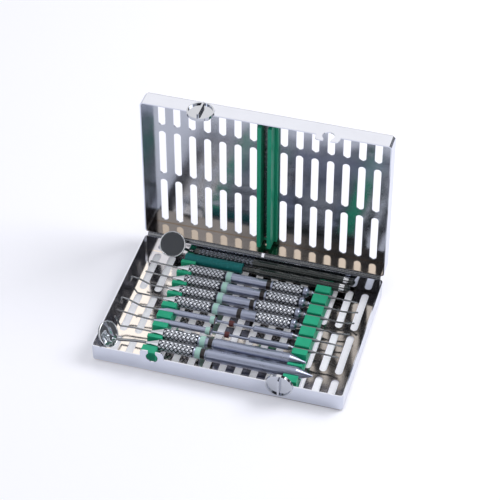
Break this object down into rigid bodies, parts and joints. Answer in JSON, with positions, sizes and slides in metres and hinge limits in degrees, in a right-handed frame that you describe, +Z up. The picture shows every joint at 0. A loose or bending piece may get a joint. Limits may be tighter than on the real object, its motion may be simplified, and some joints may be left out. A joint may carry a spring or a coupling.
{
  "type": "dental instrument cassette",
  "caption": "Perforated steel cassette with hinged lid, quarter-turn disc latches and silicone racks, holding dental hand instruments for washing and sterilising.",
  "frame": {"origin": "middle of the base tray's underside, on the plane it stands on", "axes": "+Z up, +X along the long side towards the right-hand end, +Y towards the rear hinge"},
  "size_m": [0.205, 0.1615, 0.1581],
  "materials": {
    "tray_steel": "bright, lightly brushed sheet steel",
    "polished_steel": "polished steel",
    "handle_steel": "satin steel, knurled grips",
    "tip_steel": "polished tip steel",
    "id_ring": "soft silicone colour-code rings, pale mint and dark brown",
    "green_silicone": "semi-gloss silicone",
    "teal_grip": "moulded grip sleeve",
    "black_resin": "dark gloss resin",
    "mirror_glass": "front-surface mirror"
  },
  "bodies": {
    "base": {"base_shell": "tray_steel", "left_rack": "green_silicone", "right_rack": "green_silicone", "left_rack_channel": "polished_steel", "right_rack_channel": "polished_steel", "rack_rivets": "polished_steel", "base_latch_plate": "polished_steel", "base_hinge_leaves": "polished_steel", "base_hinge_rivets": "polished_steel", "hinge_pins": "polished_steel"},
    "lid": {"lid_shell": "tray_steel", "lid_rail": "green_silicone", "lid_rail_strip": "polished_steel", "lid_rail_rivets": "polished_steel", "lid_latch_plate": "polished_steel", "lid_hinge_leaves": "polished_steel", "lid_hinge_rivets": "polished_steel"},
    "base_latch": {"base_latch_knob": "polished_steel", "base_latch_rivet": "polished_steel"},
    "lid_latch": {"lid_latch_knob": "polished_steel", "lid_latch_rivet": "polished_steel"},
    "front_mirror": {"front_mirror_handle": "handle_steel", "front_mirror_rings": "id_ring", "front_mirror_tips": "tip_steel", "front_mirror_glass": "mirror_glass"},
    "explorer": {"explorer_handle": "handle_steel", "explorer_rings": "id_ring", "explorer_tips": "tip_steel"},
    "front_probe": {"front_probe_handle": "handle_steel", "front_probe_rings": "id_ring", "front_probe_tips": "tip_steel"},
    "rear_probe": {"rear_probe_handle": "handle_steel", "rear_probe_rings": "id_ring", "rear_probe_tips": "tip_steel"},
    "scaler_one": {"scaler_one_handle": "handle_steel", "scaler_one_rings": "id_ring", "scaler_one_tips": "tip_steel"},
    "scaler_two": {"scaler_two_handle": "handle_steel", "scaler_two_rings": "id_ring", "scaler_two_tips": "tip_steel"},
    "scaler_three": {"scaler_three_handle": "handle_steel", "scaler_three_rings": "id_ring", "scaler_three_tips": "tip_steel"},
    "scaler_four": {"scaler_four_handle": "handle_steel", "scaler_four_rings": "id_ring", "scaler_four_tips": "tip_steel"},
    "carver": {"carver_handle": "black_resin", "carver_rings": "polished_steel", "carver_grip": "teal_grip"},
    "rear_mirror": {"rear_mirror_handle": "black_resin", "rear_mirror_rings": "polished_steel", "rear_mirror_tips": "tip_steel", "rear_mirror_glass": "mirror_glass"}
  },
  "joints": [
    {"name": "lid_hinge", "type": "hinge", "parent": "base", "child": "lid", "pos_m": [0, 0.0691, 0.0166], "axis": [-1, 0, 0], "range_deg": [-92, 0]},
    {"name": "base_latch_turn", "type": "hinge", "parent": "base", "child": "base_latch", "pos_m": [0.052, -0.067, 0.0166], "axis": [0, 1, 0], "range_deg": [0, 90]},
    {"name": "lid_latch_turn", "type": "hinge", "parent": "lid", "child": "lid_latch", "pos_m": [-0.052, 0.07385, 0.15262], "axis": [0, -0.0349, -0.9994], "range_deg": [0, 90]},
    {"name": "front_mirror_lift", "type": "slide", "parent": "base", "child": "front_mirror", "axis": [0, 0, 1], "range_m": [0, 0.06]},
    {"name": "explorer_lift", "type": "slide", "parent": "base", "child": "explorer", "axis": [0, 0, 1], "range_m": [0, 0.06]},
    {"name": "front_probe_lift", "type": "slide", "parent": "base", "child": "front_probe", "axis": [0, 0, 1], "range_m": [0, 0.06]},
    {"name": "rear_probe_lift", "type": "slide", "parent": "base", "child": "rear_probe", "axis": [0, 0, 1], "range_m": [0, 0.06]},
    {"name": "scaler_one_lift", "type": "slide", "parent": "base", "child": "scaler_one", "axis": [0, 0, 1], "range_m": [0, 0.06]},
    {"name": "scaler_two_lift", "type": "slide", "parent": "base", "child": "scaler_two", "axis": [0, 0, 1], "range_m": [0, 0.06]},
    {"name": "scaler_three_lift", "type": "slide", "parent": "base", "child": "scaler_three", "axis": [0, 0, 1], "range_m": [0, 0.06]},
    {"name": "scaler_four_lift", "type": "slide", "parent": "base", "child": "scaler_four", "axis": [0, 0, 1], "range_m": [0, 0.06]},
    {"name": "carver_lift", "type": "slide", "parent": "base", "child": "carver", "axis": [0, 0, 1], "range_m": [0, 0.06]},
    {"name": "rear_mirror_lift", "type": "slide", "parent": "base", "child": "rear_mirror", "axis": [0, 0, 1], "range_m": [0, 0.06]}
  ]
}
